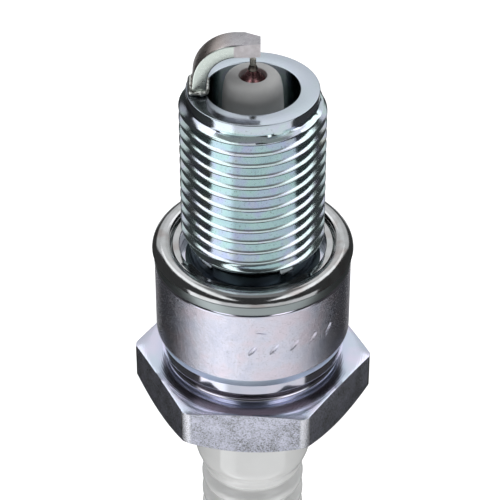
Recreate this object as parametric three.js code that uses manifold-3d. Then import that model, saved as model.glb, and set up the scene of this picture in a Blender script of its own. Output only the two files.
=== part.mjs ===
// A 14 mm motorcycle spark plug with a 19 mm reach, standing on its terminal nut.
// Millimetres, +Z up towards the firing end. The origin is the centre of the terminal nut's
// end face. Heights inside the plug group are measured from the shell's firing-end face, so
// they are negative for everything inside the shell.
import * as THREE from 'three';
import { mergeVertices } from 'three/addons/utils/BufferGeometryUtils.js';
import Module from 'manifold-3d';

const wasm = await Module();
wasm.setup();

// Overall heights
const SEAT_TO_TERMINAL = 50.5;
const REACH = 19;
const FIRING_END = SEAT_TO_TERMINAL + REACH;

// Fits and resolution
const SIDES = 30;
const GAP = 0.04;
const MERGE_TOLERANCE = 1e-4;
const RIGHT_ANGLE = Math.PI / 2;
const FULL_TURN = 2 * Math.PI;

// M14 x 1.25 thread
const PITCH = 1.25;
const CREST_RADIUS = 6.95;
const ROOT_RADIUS = 6.19;
const THREAD_TURNS = 12.3;
const THREAD_TOP = -0.95;
const CREST_WIDTH = 0.2;
const ROOT_WIDTH = 1.12;
const RIDGE_DEPTH_BELOW_ROOT = 0.3;
const RUN_OUT_TURNS = 0.5;
const RUN_OUT_START = 0.1;
const LEAD_IN_CHAMFER = 0.15;
const NECK_RADIUS = 6.1;
const NECK_TOP = -16.75;
const NECK_STEP = 0.2;
const NECK_FILLET = 0.3;

// Shell body with its seat for the gasket, waist and 20.8 mm hexagon
const SEAT_FACE = -19.4;
const BODY_RADIUS = 9.6;
const BODY_CHAMFER = 0.2;
const BODY_BOTTOM = -28.35;
const BODY_FOOT_INSET = 0.15;
const BODY_FOOT_RISE = 0.4;
const WAIST_RADIUS = 9.0;
const WAIST_TOP = -28.9;
const WAIST_BOTTOM = -29.9;
const LIP_RADIUS = 8.65;
const LIP_TOP = -30.6;
const HEX_TOP = -31.3;
const HEX_BOTTOM = -36.1;
const HEX_OVERLAP = 0.5;
const ACROSS_FLATS = 20.8;
const HEX_CORNER_RADIUS = 11.85;
const HEX_CHAMFER_RISE = 0.84;
const HEX_TOP_EDGE_DROP = 0.15;
const HEX_TOP_EDGE_INSET = 0.3;
const HEX_TURNING_SIDES = 36;

// Crimp collar, rolled in over the packing
const COLLAR_RADIUS = 8.35;
const COLLAR_STRAIGHT_END = -37.5;
const COLLAR_ROLL_INSET = 0.25;
const COLLAR_ROLL_DROP = 0.6;
const COLLAR_END = -38.75;
const COLLAR_MOUTH_RADIUS = 6.55;
const COLLAR_RIM_WIDTH = 0.5;
const COLLAR_RIM_THICKNESS = 0.25;

// Shell bore, from the firing end to the collar
const NOSE_BORE_RADIUS = 4.4;
const LEDGE_RADIUS = 3.95;
const LEDGE_TOP = -13.4;
const LEDGE_CHAMFER = 0.5;
const LEDGE_SEAT = -15.2;
const SEAT_SLOPE = 0.75;
const STEM_BORE_RADIUS = 5.15;
const STEM_BORE_END = -26.6;
const PACKING_BORE_RADIUS = 7.4;
const PACKING_BORE_START = -28.4;
const PACKING_BORE_END = -37.8;

// Insulator
const NOSE_TOP = 1.45;
const NOSE_ROUND = 0.6;
const NOSE_TIP_RADIUS = 2.45;
const NOSE_EXIT_RADIUS = 2.8;
const NOSE_BASE_RADIUS = 3.6;
const STEM_RADIUS = 5.0;
const SHOULDER_RADIUS = 7.2;
const SHOULDER_TOP = -28.75;
const SHOULDER_SLOPE_RISE = 1.8;
const SHOULDER_BOTTOM = -32.5;
const BARREL_RADIUS = 5.95;
const BARREL_TOP = -33.6;
const BARREL_END = -44;
const RIB_START = -45;
const RIB_COUNT = 5;
const RIB_SPACING = 2.3;
const RIB_RADIUS = 5.3;
const RIB_EDGE = 0.2;
const RIB_SLOPE_START = 0.8;
const RIB_SLOPE_END = 1.2;
const RIB_GROOVE_RADIUS = 4.6;
const INSULATOR_END = -59.1;
const INSULATOR_END_RADIUS = 3.6;
const INSULATOR_END_STEP = 0.5;
const INSULATOR_END_RISE = 0.6;
const ELECTRODE_HOLE_RADIUS = 1.3;
const CORE_HOLE_RADIUS = 2.0;
const HOLE_STEP = -15.25;
const HOLE_STEP_DEPTH = 0.7;

// Packing between the shell and the insulator
const WASHER_THICKNESS = 0.45;
const WASHER_INNER_RADIUS = 4.05;
const WASHER_OUTER_RADIUS = 5.05;
const PACKING_WIRE_RADIUS = 0.6;
const INNER_RING_HEIGHT = -33.87;
const OUTER_RING_HEIGHT = -37.48;

// Centre electrode, its copper core and the fine iridium wire
const ELECTRODE_RADIUS = 1.25;
const ELECTRODE_CONE_BASE = 1.05;
const ELECTRODE_CONE_TOP = 2.0;
const ELECTRODE_TIP_RADIUS = 0.47;
const ELECTRODE_HEAD_RADIUS = 1.94;
const ELECTRODE_HEAD_END = -17.2;
const COPPER_RADIUS = 0.65;
const COPPER_TOP = -1.5;
const WIRE_RADIUS = 0.3;
const WIRE_TOP = 3.2;
const WELD_TOP = 2.55;

// Glass seals, resistor and terminal stud
const FILLING_RADIUS = 1.95;
const RESISTOR_TOP = -20;
const RESISTOR_END = -28;
const STUD_TIP = -29.5;
const STUD_TIP_RADIUS = 1.5;
const STUD_GLASS_END = -33;
const STUD_STEP_TOP = -33.1;
const STUD_STEP_BOTTOM = -33.2;
const STUD_RADIUS = 1.9;
const STUD_COLLAR_RADIUS = 2.9;
const STUD_COLLAR_THICKNESS = 0.8;
const STUD_THREAD_RADIUS = 1.95;
const STUD_POINT_INSET = 0.35;
const STUD_POINT_RISE = 0.4;
const STUD_END = -67.3;

// Terminal nut
const NUT_RADIUS = 3.17;
const NUT_WAIST_RADIUS = 2.55;
const NUT_BORE_RADIUS = 2.03;
const NUT_BORE_END = -67.6;
const NUT_BORE_POINT = 0.5;
const NUT_FACE_RADIUS = 2.3;
const NUT_EDGE = 0.2;
const NUT_CONE_RISE = 0.7;
const NUT_HEAD_RISE = 1.2;
const NUT_SHOULDER = -63.6;
const NUT_WAIST_TOP = -64.3;
const NUT_WAIST_BOTTOM = -66.2;
const NUT_HEAD_TOP = -66.9;

// Ground electrode: a flat strap bent over the wire with a 0.8 mm spark gap
const SPARK_GAP = 0.8;
const STRAP_THICKNESS = 1.36;
const STRAP_WIDTH = 2.5;
const STRAP_BEND = 2.75;
const STRAP_LEAN = 5;
const STRAP_ROOT_RADIUS = 4.35;
const STRAP_OVERHANG = 0.7;
const STRAP_EDGE = 0.15;
const STRAP_DIRECTION = 184;
const STRAP_TRIMS = [
  { side: 1, start: 1.75, tipReach: 1.0 },
  { side: -1, start: 1.0, tipReach: 0.4 },
];
const TRIM_OVERCUT = 1;
const FLASH_REACH = 0.4;
const FLASH_CLEARANCE = 0.09;
const FLASH_HEIGHT = 0.5;

// Gasket: folded steel sheet, staked so that it stays on the neck
const GASKET_TOP = -17.2;
const GASKET_OUTER_RADIUS = 9.83;
const GASKET_FOOT_ROUND = 0.65;
const GASKET_ROLL_ROUND = 1.0;
const GASKET_LAND_INNER_RADIUS = 8.6;
const GASKET_LAND_ROUND = 0.3;
const GASKET_GROOVE_BOTTOM = -18.6;
const GASKET_GROOVE_INNER_RADIUS = 7.85;
const GASKET_LIP_TOP = -17.85;
const GASKET_INNER_RADIUS = 7.15;
const STAKE_COUNT = 4;
const STAKE_INNER_RADIUS = 6.6;
const STAKE_ROOT = 0.4;
const STAKE_WIDTH = 1.9;
const STAKE_HEIGHT = 0.5;
const STAKE_TOP = -18.0;
const FIRST_STAKE_ANGLE = 41;

const METALS = {
  zinc: { color: 0xb9c4c8, roughness: 0.28, metalness: 1 },
  nickel: { color: 0xa39e9c, roughness: 0.35, metalness: 1 },
  iridium: { color: 0x9b948c, roughness: 0.3, metalness: 1 },
  copper: { color: 0xb87358, roughness: 0.35, metalness: 1 },
  steel: { color: 0x8d8f90, roughness: 0.4, metalness: 1 },
};
const MINERALS = {
  alumina: { color: 0xe9e6e2, roughness: 0.55, metalness: 0 },
  glass: { color: 0x4c5a55, roughness: 0.3, metalness: 0 },
  carbon: { color: 0x2b2a2a, roughness: 0.8, metalness: 0 },
  talc: { color: 0xd8d2c4, roughness: 0.95, metalness: 0 },
};

// ---- Tools for turned shapes and booleans ----

// Revolves [radius, height] points about Z. Outer surfaces run upwards.
function turned(points, sides = SIDES) {
  const profile = points.map(([radius, height]) => new THREE.Vector2(radius, height));
  const geometry = new THREE.LatheGeometry(profile, sides);
  geometry.rotateX(RIGHT_ANGLE);
  return geometry;
}

// Points on an arc in the [radius, height] plane, with angles in degrees from outwards.
function arc(radius, height, size, from, to, steps) {
  return Array.from({ length: steps + 1 }, (_, i) => {
    const angle = THREE.MathUtils.degToRad(from + ((to - from) * i) / steps);
    return [radius + size * Math.cos(angle), height + size * Math.sin(angle)];
  });
}

function solid(geometry) {
  const bare = geometry.clone();
  bare.deleteAttribute('normal');
  bare.deleteAttribute('uv');
  const merged = mergeVertices(bare, MERGE_TOLERANCE);
  const corners = [];
  for (let i = 0; i < merged.index.count; i += 3) {
    const triangle = [0, 1, 2].map((k) => merged.index.getX(i + k));
    if (new Set(triangle).size === 3) corners.push(...triangle);
  }
  const vertProperties = merged.attributes.position.array;
  const triVerts = Uint32Array.from(corners);
  return new wasm.Manifold(new wasm.Mesh({ numProp: 3, vertProperties, triVerts }));
}

function geometryOf(body) {
  const mesh = body.getMesh();
  const geometry = new THREE.BufferGeometry();
  geometry.setAttribute('position', new THREE.BufferAttribute(mesh.vertProperties, 3));
  geometry.setIndex(new THREE.BufferAttribute(mesh.triVerts, 1));
  const flat = geometry.toNonIndexed();
  flat.computeVertexNormals();
  return flat;
}

function piece(name, geometry, finish) {
  const mesh = new THREE.Mesh(geometry, new THREE.MeshStandardMaterial(finish));
  mesh.name = name;
  return mesh;
}

// Height of the shell's conical insulator seat at a radius.
function seatHeight(radius) {
  return LEDGE_SEAT - SEAT_SLOPE * (radius - LEDGE_RADIUS);
}

// ---- Shell ----

function shellCore() {
  return turned([
    [0, COLLAR_END],
    [COLLAR_MOUTH_RADIUS + COLLAR_RIM_WIDTH, COLLAR_END],
    [COLLAR_RADIUS - COLLAR_ROLL_INSET, COLLAR_STRAIGHT_END - COLLAR_ROLL_DROP],
    [COLLAR_RADIUS, COLLAR_STRAIGHT_END],
    [COLLAR_RADIUS, HEX_BOTTOM],
    [LIP_RADIUS, HEX_BOTTOM + HEX_OVERLAP],
    [LIP_RADIUS, LIP_TOP],
    [WAIST_RADIUS, WAIST_BOTTOM],
    [WAIST_RADIUS, WAIST_TOP],
    [BODY_RADIUS - BODY_FOOT_INSET, BODY_BOTTOM],
    [BODY_RADIUS, BODY_BOTTOM + BODY_FOOT_RISE],
    [BODY_RADIUS, SEAT_FACE - BODY_CHAMFER],
    [BODY_RADIUS - BODY_CHAMFER, SEAT_FACE],
    [NECK_RADIUS + NECK_FILLET, SEAT_FACE],
    [NECK_RADIUS, SEAT_FACE + NECK_FILLET],
    [NECK_RADIUS, NECK_TOP],
    [ROOT_RADIUS, NECK_TOP + NECK_STEP],
    [ROOT_RADIUS, -LEAD_IN_CHAMFER],
    [ROOT_RADIUS - LEAD_IN_CHAMFER, 0],
    [0, 0],
  ]);
}

// The hexagon's flats face -Y and every 60 degrees from there.
function hexagon() {
  const cornerRadius = ACROSS_FLATS / Math.sqrt(3);
  const corners = Array.from({ length: 6 }, (_, i) => {
    const angle = (i * FULL_TURN) / 6;
    return new THREE.Vector2(cornerRadius * Math.cos(angle), cornerRadius * Math.sin(angle));
  });
  const depth = HEX_TOP - HEX_BOTTOM;
  const prism = new THREE.ExtrudeGeometry(new THREE.Shape(corners), { depth, bevelEnabled: false });
  prism.translate(0, 0, HEX_BOTTOM);
  const turning = turned([
    [0, HEX_BOTTOM],
    [ACROSS_FLATS / 2, HEX_BOTTOM],
    [HEX_CORNER_RADIUS, HEX_BOTTOM + HEX_CHAMFER_RISE],
    [HEX_CORNER_RADIUS, HEX_TOP - HEX_TOP_EDGE_DROP],
    [HEX_CORNER_RADIUS - HEX_TOP_EDGE_INSET, HEX_TOP],
    [0, HEX_TOP],
  ], HEX_TURNING_SIDES);
  return solid(prism).intersect(solid(turning));
}

// Share of the thread's full height at a number of turns along it: both ends run out.
function runOut(along) {
  const fromEnd = Math.min(along, THREAD_TURNS - along);
  return Math.min(1, RUN_OUT_START + fromEnd / RUN_OUT_TURNS);
}

// A straight bar of the thread's section, wound right-handed round the core.
function threadRidge() {
  const rootHalf = ROOT_WIDTH / 2;
  const crestHalf = CREST_WIDTH / 2;
  const depth = CREST_RADIUS - ROOT_RADIUS;
  const section = new THREE.Shape([
    new THREE.Vector2(-RIDGE_DEPTH_BELOW_ROOT, -rootHalf),
    new THREE.Vector2(0, -rootHalf),
    new THREE.Vector2(depth, -crestHalf),
    new THREE.Vector2(depth, crestHalf),
    new THREE.Vector2(0, rootHalf),
    new THREE.Vector2(-RIDGE_DEPTH_BELOW_ROOT, rootHalf),
  ]);
  const steps = Math.round(THREAD_TURNS * SIDES);
  const bar = new THREE.ExtrudeGeometry(section, { depth: 1, steps, bevelEnabled: false });
  const position = bar.attributes.position;
  for (let i = 0; i < position.count; i += 1) {
    const along = position.getZ(i) * THREAD_TURNS;
    const aboveRoot = position.getX(i);
    const radius = ROOT_RADIUS + (aboveRoot > 0 ? aboveRoot * runOut(along) : aboveRoot);
    const angle = -along * FULL_TURN;
    const height = THREAD_TOP - rootHalf - along * PITCH + position.getY(i);
    position.setXYZ(i, radius * Math.sin(angle), -radius * Math.cos(angle), height);
  }
  return bar;
}

function shellBore() {
  return turned([
    [0, COLLAR_END - 1],
    [COLLAR_MOUTH_RADIUS, COLLAR_END - 1],
    [COLLAR_MOUTH_RADIUS, COLLAR_END + COLLAR_RIM_THICKNESS],
    [PACKING_BORE_RADIUS, PACKING_BORE_END],
    [PACKING_BORE_RADIUS, PACKING_BORE_START],
    [STEM_BORE_RADIUS, STEM_BORE_END],
    [STEM_BORE_RADIUS, seatHeight(STEM_BORE_RADIUS)],
    [LEDGE_RADIUS, LEDGE_SEAT],
    [LEDGE_RADIUS, LEDGE_TOP],
    [NOSE_BORE_RADIUS, LEDGE_TOP + LEDGE_CHAMFER],
    [NOSE_BORE_RADIUS, 1],
    [0, 1],
  ]);
}

function shell() {
  const outside = solid(shellCore()).add(hexagon()).add(solid(threadRidge()));
  return piece('shell', geometryOf(outside.subtract(solid(shellBore()))), METALS.zinc);
}

// ---- Gasket ----

function gasket() {
  const bottom = SEAT_FACE + GAP;
  const footCentre = GASKET_OUTER_RADIUS - GASKET_FOOT_ROUND;
  const rollCentre = GASKET_OUTER_RADIUS - GASKET_ROLL_ROUND;
  const grooveOuterRadius = GASKET_LAND_INNER_RADIUS - GASKET_LAND_ROUND;
  const landCentre = GASKET_TOP - GASKET_LAND_ROUND;
  const ring = turned([
    [GASKET_INNER_RADIUS, bottom],
    ...arc(footCentre, bottom + GASKET_FOOT_ROUND, GASKET_FOOT_ROUND, -90, 0, 3),
    ...arc(rollCentre, GASKET_TOP - GASKET_ROLL_ROUND, GASKET_ROLL_ROUND, 0, 90, 4),
    ...arc(GASKET_LAND_INNER_RADIUS, landCentre, GASKET_LAND_ROUND, 90, 180, 2),
    [grooveOuterRadius, GASKET_GROOVE_BOTTOM],
    [GASKET_GROOVE_INNER_RADIUS, GASKET_GROOVE_BOTTOM],
    [GASKET_GROOVE_INNER_RADIUS, GASKET_LIP_TOP],
    [GASKET_INNER_RADIUS, GASKET_LIP_TOP],
    [GASKET_INNER_RADIUS, bottom],
  ]);
  const stakeLength = GASKET_INNER_RADIUS + STAKE_ROOT - STAKE_INNER_RADIUS;
  let folded = solid(ring);
  for (let i = 0; i < STAKE_COUNT; i += 1) {
    const stake = new THREE.BoxGeometry(stakeLength, STAKE_WIDTH, STAKE_HEIGHT);
    stake.translate(STAKE_INNER_RADIUS + stakeLength / 2, 0, STAKE_TOP - STAKE_HEIGHT / 2);
    stake.rotateZ(THREE.MathUtils.degToRad(FIRST_STAKE_ANGLE + (i * 360) / STAKE_COUNT));
    folded = folded.add(solid(stake));
  }
  return piece('gasket', geometryOf(folded), METALS.zinc);
}

// ---- Insulator and the packing that holds it in the shell ----

function insulatorRibs() {
  const points = [];
  for (let i = RIB_COUNT - 1; i >= 0; i -= 1) {
    const top = RIB_START - i * RIB_SPACING;
    const bottom = top - RIB_SPACING;
    points.push([RIB_GROOVE_RADIUS, bottom + RIB_EDGE]);
    points.push([RIB_GROOVE_RADIUS, bottom + RIB_SLOPE_START]);
    points.push([RIB_RADIUS, bottom + RIB_SLOPE_END]);
    points.push([RIB_RADIUS, top - RIB_EDGE]);
  }
  return points;
}

function insulator() {
  const shoulderDrop = WASHER_THICKNESS + 2 * GAP;
  const geometry = turned([
    [CORE_HOLE_RADIUS, INSULATOR_END],
    [INSULATOR_END_RADIUS, INSULATOR_END],
    [INSULATOR_END_RADIUS + INSULATOR_END_STEP, INSULATOR_END + INSULATOR_END_RISE],
    [RIB_GROOVE_RADIUS, RIB_START - RIB_COUNT * RIB_SPACING - 2 * RIB_EDGE],
    ...insulatorRibs(),
    [BARREL_RADIUS, BARREL_END],
    [BARREL_RADIUS, BARREL_TOP],
    [SHOULDER_RADIUS, SHOULDER_BOTTOM],
    [SHOULDER_RADIUS, SHOULDER_TOP],
    [STEM_RADIUS, SHOULDER_TOP + SHOULDER_SLOPE_RISE],
    [STEM_RADIUS, seatHeight(STEM_RADIUS) - shoulderDrop],
    [NOSE_BASE_RADIUS, seatHeight(NOSE_BASE_RADIUS) - shoulderDrop],
    [NOSE_EXIT_RADIUS, 0],
    ...arc(NOSE_TIP_RADIUS - NOSE_ROUND, NOSE_TOP - NOSE_ROUND, NOSE_ROUND, 0, 90, 4),
    [ELECTRODE_HOLE_RADIUS, NOSE_TOP],
    [ELECTRODE_HOLE_RADIUS, HOLE_STEP],
    [CORE_HOLE_RADIUS, HOLE_STEP - HOLE_STEP_DEPTH],
    [CORE_HOLE_RADIUS, INSULATOR_END],
  ]);
  return piece('insulator', geometry, MINERALS.alumina);
}

function seatWasher() {
  const geometry = turned([
    [WASHER_INNER_RADIUS, seatHeight(WASHER_INNER_RADIUS) - WASHER_THICKNESS - GAP],
    [WASHER_OUTER_RADIUS, seatHeight(WASHER_OUTER_RADIUS) - WASHER_THICKNESS - GAP],
    [WASHER_OUTER_RADIUS, seatHeight(WASHER_OUTER_RADIUS) - GAP],
    [WASHER_INNER_RADIUS, seatHeight(WASHER_INNER_RADIUS) - GAP],
    [WASHER_INNER_RADIUS, seatHeight(WASHER_INNER_RADIUS) - WASHER_THICKNESS - GAP],
  ]);
  return piece('seat_washer', geometry, METALS.steel);
}

function packingRing(name, height) {
  const radius = (BARREL_RADIUS + PACKING_BORE_RADIUS) / 2;
  return piece(name, turned(arc(radius, height, PACKING_WIRE_RADIUS, 0, 360, 8)), METALS.steel);
}

function talcFill() {
  const top = INNER_RING_HEIGHT - PACKING_WIRE_RADIUS - GAP;
  const bottom = OUTER_RING_HEIGHT + PACKING_WIRE_RADIUS + GAP;
  const geometry = turned([
    [BARREL_RADIUS + GAP, bottom],
    [PACKING_BORE_RADIUS - GAP, bottom],
    [PACKING_BORE_RADIUS - GAP, top],
    [BARREL_RADIUS + GAP, top],
    [BARREL_RADIUS + GAP, bottom],
  ]);
  return piece('talc_fill', geometry, MINERALS.talc);
}

// ---- Conductors inside the insulator ----

function centreElectrode() {
  const geometry = turned([
    [0, COPPER_TOP],
    [COPPER_RADIUS, COPPER_TOP],
    [COPPER_RADIUS, ELECTRODE_HEAD_END],
    [ELECTRODE_HEAD_RADIUS, ELECTRODE_HEAD_END],
    [ELECTRODE_HEAD_RADIUS, HOLE_STEP - HOLE_STEP_DEPTH - GAP],
    [ELECTRODE_RADIUS, HOLE_STEP - GAP],
    [ELECTRODE_RADIUS, ELECTRODE_CONE_BASE],
    [ELECTRODE_TIP_RADIUS, ELECTRODE_CONE_TOP],
    [0, ELECTRODE_CONE_TOP],
  ]);
  return piece('centre_electrode', geometry, METALS.nickel);
}

// A plain round rod between two heights, with one radius at each end.
function rod(name, bottom, top, bottomRadius, topRadius, finish) {
  const points = [[0, bottom], [bottomRadius, bottom], [topRadius, top], [0, top]];
  return piece(name, turned(points), finish);
}

function electrodeParts() {
  const coreRadius = COPPER_RADIUS - GAP;
  const coreEnd = ELECTRODE_HEAD_END + GAP;
  const weldBottom = ELECTRODE_CONE_TOP + GAP;
  return [
    centreElectrode(),
    rod('electrode_copper_core', coreEnd, COPPER_TOP - GAP, coreRadius, coreRadius, METALS.copper),
    rod('tip_weld', weldBottom, WELD_TOP, ELECTRODE_TIP_RADIUS, WIRE_RADIUS, METALS.nickel),
    rod('iridium_tip', WELD_TOP + GAP, WIRE_TOP, WIRE_RADIUS, WIRE_RADIUS, METALS.iridium),
  ];
}

function studGlassSeal() {
  const geometry = turned([
    [0, STUD_TIP + GAP],
    [STUD_TIP_RADIUS + GAP, STUD_TIP + GAP],
    [STUD_TIP_RADIUS + GAP, STUD_GLASS_END],
    [FILLING_RADIUS, STUD_GLASS_END],
    [FILLING_RADIUS, RESISTOR_END - GAP],
    [0, RESISTOR_END - GAP],
  ]);
  return piece('stud_glass_seal', geometry, MINERALS.glass);
}

function sealParts() {
  const glassTop = ELECTRODE_HEAD_END - GAP;
  const glassEnd = RESISTOR_TOP + GAP;
  const radius = FILLING_RADIUS;
  return [
    rod('electrode_glass_seal', glassEnd, glassTop, radius, radius, MINERALS.glass),
    rod('resistor', RESISTOR_END, RESISTOR_TOP, radius, radius, MINERALS.carbon),
    studGlassSeal(),
  ];
}

function terminalStud() {
  const collarTop = INSULATOR_END - GAP;
  const collarBottom = collarTop - STUD_COLLAR_THICKNESS;
  const geometry = turned([
    [0, STUD_END],
    [STUD_THREAD_RADIUS - STUD_POINT_INSET, STUD_END],
    [STUD_THREAD_RADIUS, STUD_END + STUD_POINT_RISE],
    [STUD_THREAD_RADIUS, collarBottom],
    [STUD_COLLAR_RADIUS, collarBottom],
    [STUD_COLLAR_RADIUS, collarTop],
    [STUD_RADIUS, collarTop],
    [STUD_RADIUS, STUD_STEP_BOTTOM],
    [STUD_TIP_RADIUS, STUD_STEP_TOP],
    [STUD_TIP_RADIUS, STUD_TIP],
    [0, STUD_TIP],
  ]);
  return piece('terminal_stud', geometry, METALS.nickel);
}

function terminalNut() {
  const rim = INSULATOR_END - STUD_COLLAR_THICKNESS - 2 * GAP;
  const endFace = -FIRING_END;
  const geometry = turned([
    [0, endFace],
    [NUT_FACE_RADIUS, endFace],
    [NUT_RADIUS - NUT_EDGE, endFace + NUT_CONE_RISE],
    [NUT_RADIUS, endFace + NUT_HEAD_RISE],
    [NUT_RADIUS, NUT_HEAD_TOP],
    [NUT_WAIST_RADIUS, NUT_WAIST_BOTTOM],
    [NUT_WAIST_RADIUS, NUT_WAIST_TOP],
    [NUT_RADIUS, NUT_SHOULDER],
    [NUT_RADIUS, rim - NUT_EDGE],
    [NUT_RADIUS - NUT_EDGE, rim],
    [NUT_BORE_RADIUS, rim],
    [NUT_BORE_RADIUS, NUT_BORE_END],
    [0, NUT_BORE_END - NUT_BORE_POINT],
  ]);
  return piece('terminal_nut', geometry, METALS.nickel);
}

// ---- Ground electrode ----

// Side view of the bent strap, with x outwards from the plug's axis and y up. The leg leans in.
function strapOutline() {
  const lean = THREE.MathUtils.degToRad(STRAP_LEAN);
  const inward = Math.sin(lean);
  const upward = Math.cos(lean);
  const bendY = WIRE_TOP + SPARK_GAP - STRAP_BEND;
  const leg = (bendY + STRAP_BEND * inward) / upward;
  const bendX = STRAP_ROOT_RADIUS - STRAP_BEND * upward - leg * inward;
  const inner = STRAP_BEND + STRAP_EDGE;
  const outer = STRAP_BEND + STRAP_THICKNESS - STRAP_EDGE;
  const tip = -STRAP_OVERHANG + STRAP_EDGE;
  const foot = GAP + STRAP_EDGE;
  const footX = (size) => {
    const legAbove = (bendY + size * inward - foot) / upward;
    return bendX + size * upward + legAbove * inward;
  };
  const outline = new THREE.Shape();
  outline.moveTo(footX(outer), foot);
  outline.lineTo(bendX + outer * upward, bendY + outer * inward);
  outline.absarc(bendX, bendY, outer, lean, RIGHT_ANGLE);
  outline.lineTo(tip, bendY + outer);
  outline.lineTo(tip, bendY + inner);
  outline.lineTo(bendX, bendY + inner);
  outline.absarc(bendX, bendY, inner, RIGHT_ANGLE, lean, true);
  outline.lineTo(footX(inner), foot);
  return outline;
}

// A wedge that trims one side of the strap's end to a narrower tip.
function tipTrimmer({ side, start, tipReach }) {
  const plan = new THREE.Shape([
    new THREE.Vector2(start, (side * STRAP_WIDTH) / 2),
    new THREE.Vector2(start, side * STRAP_WIDTH),
    new THREE.Vector2(-STRAP_OVERHANG - TRIM_OVERCUT, side * STRAP_WIDTH),
    new THREE.Vector2(-STRAP_OVERHANG - TRIM_OVERCUT, side * tipReach),
    new THREE.Vector2(-STRAP_OVERHANG, side * tipReach),
  ]);
  const depth = STRAP_THICKNESS + 2 * TRIM_OVERCUT;
  const wedge = new THREE.ExtrudeGeometry(plan, { depth, bevelEnabled: false });
  wedge.translate(0, 0, WIRE_TOP + SPARK_GAP - TRIM_OVERCUT);
  return solid(wedge);
}

function groundElectrode() {
  const strap = new THREE.ExtrudeGeometry(strapOutline(), {
    depth: STRAP_WIDTH - 2 * STRAP_EDGE,
    curveSegments: 10,
    bevelSize: STRAP_EDGE,
    bevelThickness: STRAP_EDGE,
    bevelSegments: 2,
  });
  strap.translate(0, 0, -STRAP_WIDTH / 2 + STRAP_EDGE);
  strap.rotateX(RIGHT_ANGLE);
  let trimmed = solid(strap);
  for (const trim of STRAP_TRIMS) trimmed = trimmed.subtract(tipTrimmer(trim));
  return piece('ground_electrode', geometryOf(trimmed), METALS.nickel);
}

// Metal squeezed out round the foot of the strap where it is welded to the shell.
function groundWeld() {
  const middle = STRAP_ROOT_RADIUS + STRAP_THICKNESS / 2;
  const halfThickness = STRAP_THICKNESS / 2;
  const halfWidth = STRAP_WIDTH / 2;
  const bead = rectangle(halfThickness + FLASH_REACH, halfWidth + FLASH_REACH, middle);
  bead.holes.push(rectangle(halfThickness + FLASH_CLEARANCE, halfWidth + GAP, middle));
  const geometry = new THREE.ExtrudeGeometry(bead, { depth: FLASH_HEIGHT, bevelEnabled: false });
  geometry.translate(0, 0, GAP);
  return piece('ground_weld', geometry, METALS.nickel);
}

function rectangle(halfX, halfY, middleX) {
  return new THREE.Shape([
    new THREE.Vector2(middleX - halfX, -halfY),
    new THREE.Vector2(middleX + halfX, -halfY),
    new THREE.Vector2(middleX + halfX, halfY),
    new THREE.Vector2(middleX - halfX, halfY),
  ]);
}

function groundElectrodeGroup() {
  const group = new THREE.Group();
  group.add(groundElectrode(), groundWeld());
  group.rotation.z = THREE.MathUtils.degToRad(STRAP_DIRECTION);
  return group;
}

// ---- Assembly ----

const plug = new THREE.Group();
plug.name = 'plug';
plug.position.z = FIRING_END;
plug.add(
  shell(),
  gasket(),
  insulator(),
  seatWasher(),
  packingRing('inner_packing_ring', INNER_RING_HEIGHT),
  talcFill(),
  packingRing('outer_packing_ring', OUTER_RING_HEIGHT),
  ...electrodeParts(),
  ...sealParts(),
  terminalStud(),
  terminalNut(),
  groundElectrodeGroup(),
);

const sparkPlug = new THREE.Group();
sparkPlug.name = 'spark_plug';
sparkPlug.add(plug);

export default sparkPlug;
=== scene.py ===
"""Detailed visible pieces of the spark plug, their materials, the camera and the lights.

Heights and radii are in millimetres. Heights are measured from the shell's firing-end face,
up positive, and angles go round +Z from the front flat of the hexagon, which faces -Y.
"""

import math

import bmesh
import bpy
import numpy as np
from mathutils import Matrix, Vector, noise


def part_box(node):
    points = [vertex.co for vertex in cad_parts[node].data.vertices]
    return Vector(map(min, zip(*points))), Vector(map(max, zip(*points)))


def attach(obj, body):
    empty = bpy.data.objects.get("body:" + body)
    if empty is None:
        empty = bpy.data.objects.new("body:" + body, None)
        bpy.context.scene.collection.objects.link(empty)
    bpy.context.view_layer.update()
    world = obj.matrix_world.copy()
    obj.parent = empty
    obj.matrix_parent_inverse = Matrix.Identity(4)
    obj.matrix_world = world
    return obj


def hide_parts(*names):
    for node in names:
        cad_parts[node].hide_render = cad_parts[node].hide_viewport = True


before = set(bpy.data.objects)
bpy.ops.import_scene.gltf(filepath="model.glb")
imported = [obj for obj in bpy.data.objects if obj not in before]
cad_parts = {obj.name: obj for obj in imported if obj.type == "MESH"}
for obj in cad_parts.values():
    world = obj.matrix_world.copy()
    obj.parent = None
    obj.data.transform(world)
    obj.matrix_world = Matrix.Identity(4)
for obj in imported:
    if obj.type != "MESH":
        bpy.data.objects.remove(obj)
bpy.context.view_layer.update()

MM = 0.001
FIRING_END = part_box("shell")[1].z / MM
SEED = 14

# Resolution
COLUMNS = 240
FILLET_STEPS = 5
SHARP_ANGLE = math.radians(28)

# Shell: M14 x 1.25 thread, with its first turn chamfered from the lead-in outwards
PITCH = 1.25
CREST_RADIUS = 6.95
ROOT_RADIUS = 6.19
LEAD_IN_RADIUS = 6.26
LEAD_IN_FOOT = -1.2
LEAD_IN_SLOPE = 2.8
LEAD_IN_FADE = (-1.6, -1.3)
FIRST_CREST = -1.51
THREAD_TURNS = 12.3
FIRST_TURN_LEAD = 0.5
RUN_OUT_TURNS = 0.5
RUN_OUT_HEIGHT = 0.1
RUN_OUT_TAIL = 0.2
THREAD_LOW = -17.6
THREAD_HIGH = -0.4

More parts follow.
